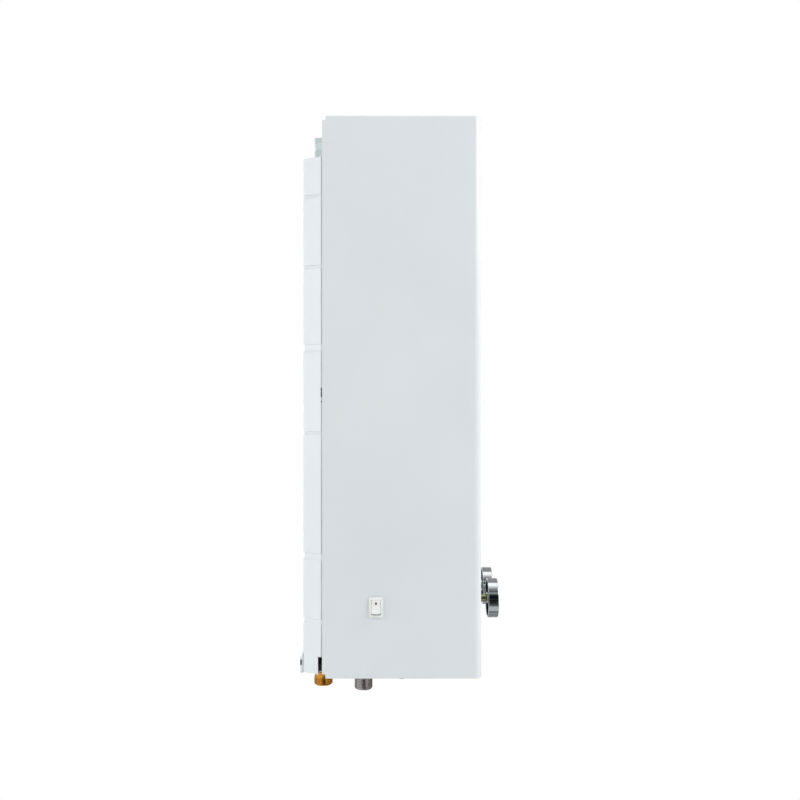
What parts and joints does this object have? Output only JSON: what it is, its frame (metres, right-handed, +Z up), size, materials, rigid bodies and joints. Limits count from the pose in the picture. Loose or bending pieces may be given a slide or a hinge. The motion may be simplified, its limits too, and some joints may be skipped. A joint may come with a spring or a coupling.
{
  "type": "tankless water heater",
  "caption": "Wall-hung gas water heater: white sheet steel case with grooved back plate, front control knobs, side rocker switch, pipe stubs below, and burner, valves and heat exchanger inside.",
  "frame": {"origin": "middle of the wall hanger's rear face, level with the tops of its keyholes", "axes": "+Z up, +Y into the wall, +X to the viewer's right when facing the front"},
  "size_m": [0.3337, 0.2166, 0.6434],
  "materials": {
    "white_enamel": "glossy white enamel",
    "galvanised": "zinc galvanised sheet",
    "zinc_screw": "zinc plated",
    "window_steel": "brushed stainless steel",
    "window_glass": "smoked glass",
    "knob_chrome": "bright chrome on moulded plastic",
    "grey_steel": "machined grey steel",
    "white_plastic": "moulded white",
    "red_plastic": "moulded dark red",
    "side_clip": "moulded black",
    "brass": "machined brass",
    "rubber": "black rubber",
    "cast_aluminium": "die cast aluminium",
    "black_plastic": "moulded black",
    "stainless": "stainless steel",
    "spring_steel": "spring steel",
    "copper": "drawn copper",
    "ceramic": "glazed ceramic",
    "cell_wrap": "printed cell sleeve",
    "battery_door": "moulded white"
  },
  "bodies": {
    "heater": {"front_cover": "white_enamel", "back_plate": "white_enamel", "bottom_plate": "white_enamel", "lower_wall_tab_left": "white_enamel", "lower_wall_tab_right": "white_enamel", "wall_hanger": "galvanised", "switch_carrier": "galvanised", "valve_bracket": "galvanised", "exchanger_bracket": "galvanised", "cover_screw_left": "zinc_screw", "cover_screw_right": "zinc_screw", "window_frame": "window_steel", "window_glass": "window_glass", "gas_inlet_fitting": "grey_steel", "rocker_bezel": "white_plastic", "drain_plug": "red_plastic", "side_clip_left": "side_clip", "side_clip_right": "side_clip", "cold_inlet_fitting": "brass", "hot_outlet_fitting": "brass", "water_valve_body": "brass", "diaphragm_cover": "brass", "hot_outlet_sleeve": "rubber", "diaphragm": "rubber", "flame_lead": "rubber", "ignition_lead": "rubber", "switch_lead": "rubber", "gas_valve_body": "cast_aluminium", "gas_manifold": "cast_aluminium", "gas_pipe": "cast_aluminium", "solenoid_coil": "black_plastic", "microswitch": "black_plastic", "overheat_thermostat": "black_plastic", "igniter_module": "black_plastic", "battery_box": "black_plastic", "exhaust_hood": "stainless", "burner_frame": "stainless", "burner_bars": "stainless", "battery_link": "spring_steel", "exchanger_shell": "copper", "exchanger_fins": "copper", "exchanger_tubes": "copper", "jacket_coil": "copper", "cold_pipe": "copper", "hot_pipe": "copper", "flame_sensor": "ceramic", "ignition_electrode": "ceramic", "battery_cell_front": "cell_wrap", "battery_cell_rear": "cell_wrap"},
    "gas_knob": {"gas_knob": "knob_chrome", "gas_knob_spindle": "grey_steel"},
    "water_knob": {"water_knob": "knob_chrome", "water_knob_spindle": "grey_steel"},
    "rocker": {"rocker": "white_plastic", "rocker_mark": "red_plastic"},
    "battery_door": {"battery_door": "battery_door"},
    "push_rod": {"push_rod": "stainless", "return_spring": "spring_steel"},
    "microswitch_lever": {"microswitch_lever": "spring_steel"},
    "solenoid_plunger": {"solenoid_plunger": "grey_steel"}
  },
  "joints": [
    {"name": "gas_knob_turn", "type": "hinge", "parent": "heater", "child": "gas_knob", "pos_m": [-0.034, -0.2016, -0.527], "axis": [0, -1, 0], "range_deg": [0, 90]},
    {"name": "water_knob_turn", "type": "hinge", "parent": "heater", "child": "water_knob", "pos_m": [0.034, -0.2016, -0.527], "axis": [0, -1, 0], "range_deg": [0, 270]},
    {"name": "rocker_tilt", "type": "hinge", "parent": "heater", "child": "rocker", "pos_m": [-0.1636, -0.0757, -0.5078], "axis": [0, -1, 0], "range_deg": [0, 16]},
    {"name": "battery_door_hinge", "type": "hinge", "parent": "heater", "child": "battery_door", "pos_m": [0.113, -0.0637, -0.5798], "axis": [1, 0, 0], "range_deg": [0, 100]},
    {"name": "push_rod_slide", "type": "slide", "parent": "heater", "child": "push_rod", "axis": [-1, 0, 0], "range_m": [0, 0.004], "stiffness_N_per_m": 400, "springref_m": -0.002},
    {"name": "microswitch_lever_hinge", "type": "hinge", "parent": "heater", "child": "microswitch_lever", "pos_m": [-0.00005, -0.05, -0.4945], "axis": [0, 1, 0], "range_deg": [0, 10.5]},
    {"name": "solenoid_plunger_slide", "type": "slide", "parent": "heater", "child": "solenoid_plunger", "axis": [0, 0, 1], "range_m": [0, 0.003], "stiffness_N_per_m": 200, "springref_m": -0.002}
  ],
  "couplings": [
    {"joint": "microswitch_lever_hinge", "follows": "push_rod_slide", "rad_per_m": 45.8}
  ]
}
